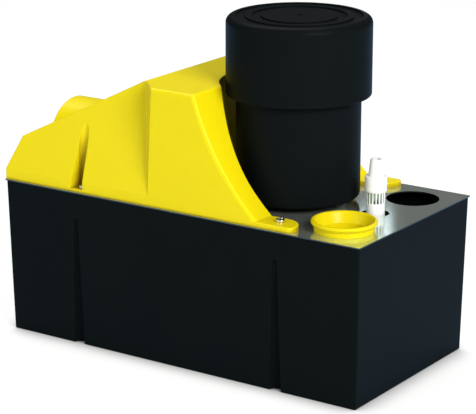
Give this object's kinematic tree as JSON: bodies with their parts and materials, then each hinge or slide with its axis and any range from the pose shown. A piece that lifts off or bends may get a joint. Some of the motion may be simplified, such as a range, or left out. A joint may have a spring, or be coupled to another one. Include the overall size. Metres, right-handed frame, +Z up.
{
  "type": "condensate pump",
  "caption": "Floor-standing condensate pump: tapered tank, steel lid with inlets and check valve, upright motor, and a moulded cover over the float switches.",
  "frame": {"origin": "middle of the tank's foot, on the surface it stands on", "axes": "+X along the tank towards the inlets, +Y across it, +Z up"},
  "size_m": [0.328, 0.1654, 0.2684],
  "materials": {
    "tank_black": "moulded black polymer with a low sheen",
    "lid_steel": "satin stainless sheet",
    "cover_yellow": "bright yellow moulding, semi-gloss",
    "screw_steel": "bright zinc-plated steel",
    "motor_black": "black moulding, satin",
    "rubber_black": "soft black rubber",
    "cast_alloy": "as cast",
    "bearing_steel": "ground",
    "core_steel": "stacked laminations",
    "copper": "enamelled copper winding",
    "pump_black": "moulded black polymer",
    "bush_brass": "plain",
    "pipe_white": "white moulding",
    "union_clear": "clear fluted moulding",
    "gland_grey": "grey nylon",
    "float_white": "foamed white polymer",
    "switch_black": "moulded switch case",
    "switch_red": "button",
    "rocker_white": "acetal",
    "bracket_zinc": "bent zinc-plated sheet",
    "terminal_cream": "cream moulding"
  },
  "bodies": {
    "housing": {"tank": "tank_black", "lid_plate": "lid_steel", "cover": "cover_yellow", "cover_screws": "screw_steel", "motor_can": "motor_black", "motor_cap": "motor_black", "motor_feet": "rubber_black", "motor_screws": "screw_steel", "lower_end_bracket": "cast_alloy", "upper_end_bracket": "cast_alloy", "lower_bearing": "bearing_steel", "upper_bearing": "bearing_steel", "stator_core": "core_steel", "stator_coils": "copper", "motor_tie_bolts": "screw_steel", "pump_column": "pump_black", "column_bush": "bush_brass", "volute_housing": "pump_black", "volute_cover": "pump_black", "volute_screws": "screw_steel", "discharge_pipe": "pipe_white", "valve_union": "union_clear", "valve_body": "pipe_white", "inlet_collar": "cover_yellow", "cable_gland": "gland_grey", "gland_locknut": "gland_grey", "pump_float_guide": "pump_black", "pump_switch": "switch_black", "alarm_float_guide": "pump_black", "alarm_switch": "switch_black", "rocker_pins": "screw_steel", "switch_screws": "screw_steel", "switch_terminals": "bush_brass", "switch_bracket": "bracket_zinc", "plate_screws": "screw_steel", "terminal_block": "terminal_cream", "terminal_screws": "bush_brass"},
    "rotor_assembly": {"shaft": "bearing_steel", "rotor": "core_steel", "cooling_fan": "motor_black", "slinger": "rubber_black", "impeller": "pump_black"},
    "pump_float_carriage": {"pump_float": "float_white", "pump_float_rod": "bearing_steel"},
    "alarm_float_carriage": {"alarm_float": "float_white", "alarm_float_rod": "bearing_steel"},
    "pump_lever": {"pump_rocker": "rocker_white"},
    "alarm_lever": {"alarm_rocker": "rocker_white"},
    "pump_button": {"pump_switch_plunger": "switch_red"},
    "alarm_button": {"alarm_switch_plunger": "switch_red"},
    "valve_disc": {"valve_poppet": "pipe_white", "valve_spring": "screw_steel"}
  },
  "joints": [
    {"name": "rotor_spin", "type": "hinge", "parent": "housing", "child": "rotor_assembly", "pos_m": [0.059, 0, 0.1], "axis": [0, 0, 1], "continuous": true},
    {"name": "pump_float_rise", "type": "slide", "parent": "housing", "child": "pump_float_carriage", "axis": [0, 0, 1], "range_m": [0, 0.018]},
    {"name": "alarm_float_rise", "type": "slide", "parent": "housing", "child": "alarm_float_carriage", "axis": [0, 0, 1], "range_m": [0, 0.018]},
    {"name": "pump_lever_tilt", "type": "hinge", "parent": "housing", "child": "pump_lever", "pos_m": [-0.098, 0.01415, 0.147], "axis": [0, -1, 0], "range_deg": [0, 21.29]},
    {"name": "alarm_lever_tilt", "type": "hinge", "parent": "housing", "child": "alarm_lever", "pos_m": [-0.074, -0.01415, 0.147], "axis": [0, 1, 0], "range_deg": [0, 21.29]},
    {"name": "pump_button_press", "type": "slide", "parent": "housing", "child": "pump_button", "axis": [0, 0, 1], "range_m": [0, 0.0016]},
    {"name": "alarm_button_press", "type": "slide", "parent": "housing", "child": "alarm_button", "axis": [0, 0, 1], "range_m": [0, 0.0016]},
    {"name": "valve_lift", "type": "slide", "parent": "housing", "child": "valve_disc", "axis": [0, 0, 1], "range_m": [0, 0.0025], "stiffness_N_per_m": 40, "springref_m": -0.002, "deforming": ["valve_spring"]}
  ],
  "couplings": [
    {"joint": "pump_lever_tilt", "follows": "pump_float_rise", "rad_per_m": 20.594},
    {"joint": "alarm_lever_tilt", "follows": "alarm_float_rise", "rad_per_m": 20.594},
    {"joint": "pump_button_press", "follows": "pump_float_rise", "ratio": 0.08191},
    {"joint": "alarm_button_press", "follows": "alarm_float_rise", "ratio": 0.08191}
  ]
}
